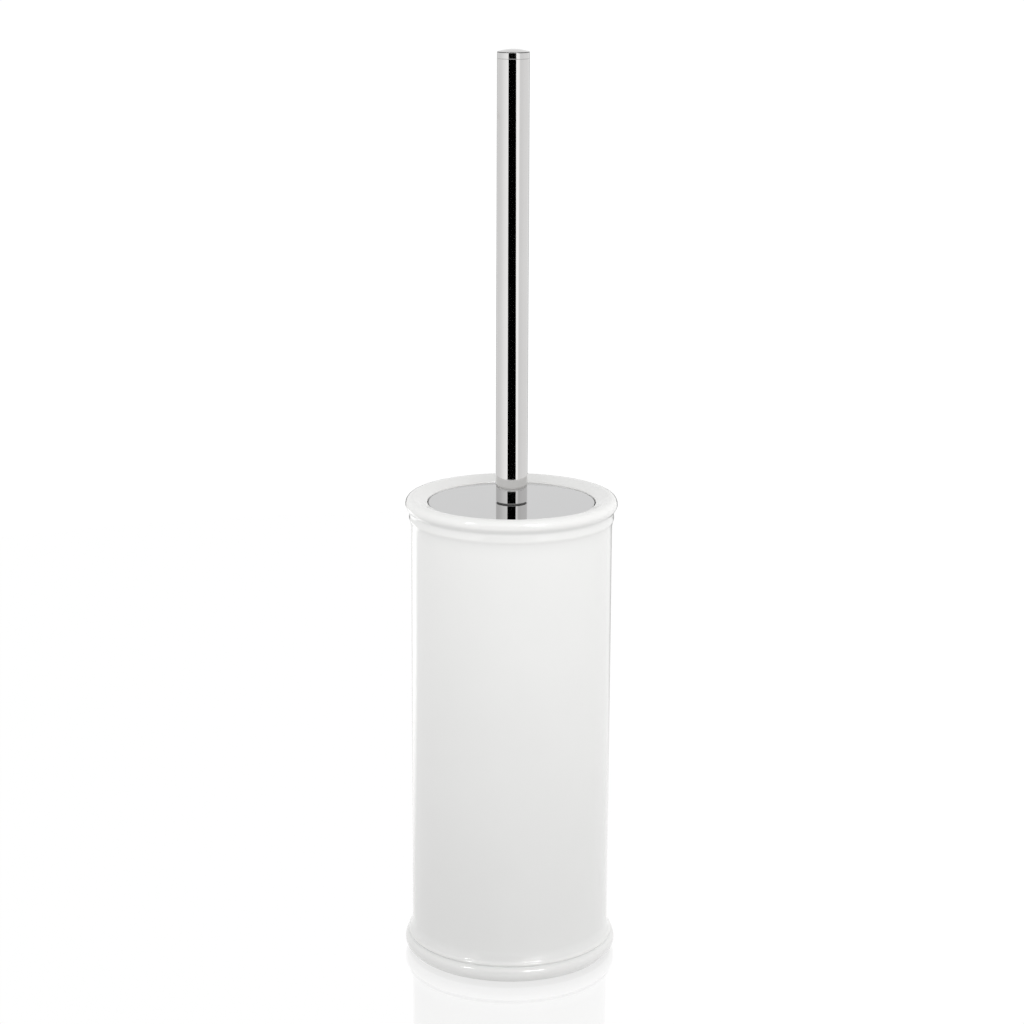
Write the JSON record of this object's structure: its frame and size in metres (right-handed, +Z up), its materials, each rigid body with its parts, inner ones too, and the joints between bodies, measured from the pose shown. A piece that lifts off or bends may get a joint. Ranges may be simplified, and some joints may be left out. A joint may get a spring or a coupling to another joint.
{
  "type": "toilet brush holder",
  "caption": "Round glazed ceramic pot with a toilet brush that hangs in it from a polished lid plate; the brush lifts out, turns in the lid, and its head screws off.",
  "frame": {"origin": "on the floor, under the centre of the pot", "axes": "+Z up along the pot's axis; the object is round, so X and Y are free"},
  "size_m": [0.0964, 0.0964, 0.4109],
  "materials": {
    "glaze": "clear glossy white glaze, unglazed foot ring",
    "pad_rubber": "soft translucent bumper",
    "mirror_steel": "mirror-polished stainless steel, faint concentric polish",
    "seal_rubber": "matt moulded rubber",
    "nylon": "natural nylon, turned",
    "tube_chrome": "bright polished tube",
    "cap_chrome": "bright polished cap",
    "brass": "turned brass",
    "black_rubber": "matt black rubber",
    "turned_steel": "turned steel with fine rings",
    "stem_steel": "satin steel tube, brushed along its length",
    "core_plastic": "moulded white plastic",
    "bristle": "white nylon filaments",
    "anchor_wire": "plain flat wire"
  },
  "bodies": {
    "holder": {"ceramic_pot": "glaze", "foot_pads": "pad_rubber"},
    "lid": {"lid_plate": "mirror_steel", "seat_ring": "seal_rubber", "lid_bush": "nylon"},
    "brush": {"handle_tube": "tube_chrome", "handle_cap": "cap_chrome", "cap_grip_ring": "seal_rubber", "tube_insert": "brass", "handle_washer": "black_rubber", "spindle": "turned_steel", "thrust_washer": "nylon", "brush_stem": "stem_steel", "head_stud": "turned_steel"},
    "head_washer": {"seal_washer": "black_rubber"},
    "head": {"brush_core": "core_plastic", "core_insert": "brass", "side_tufts": "bristle", "tip_tufts": "bristle", "tuft_anchors": "anchor_wire"}
  },
  "joints": [
    {"name": "lid_lift", "type": "slide", "parent": "holder", "child": "lid", "axis": [0, 0, 1], "range_m": [0, 0.22]},
    {"name": "brush_turn", "type": "hinge", "parent": "lid", "child": "brush", "pos_m": [0, 0, 0.2115], "axis": [0, 0, 1], "continuous": true},
    {"name": "head_travel", "type": "slide", "parent": "brush", "child": "head_washer", "axis": [0, 0, -1], "range_m": [0, 0.008]},
    {"name": "head_unscrew", "type": "hinge", "parent": "head_washer", "child": "head", "pos_m": [0, 0, 0.105], "axis": [0, 0, -1], "range_deg": [0, 2880]}
  ],
  "couplings": [
    {"joint": "head_travel", "follows": "head_unscrew", "m_per_rad": 0.00015915}
  ]
}
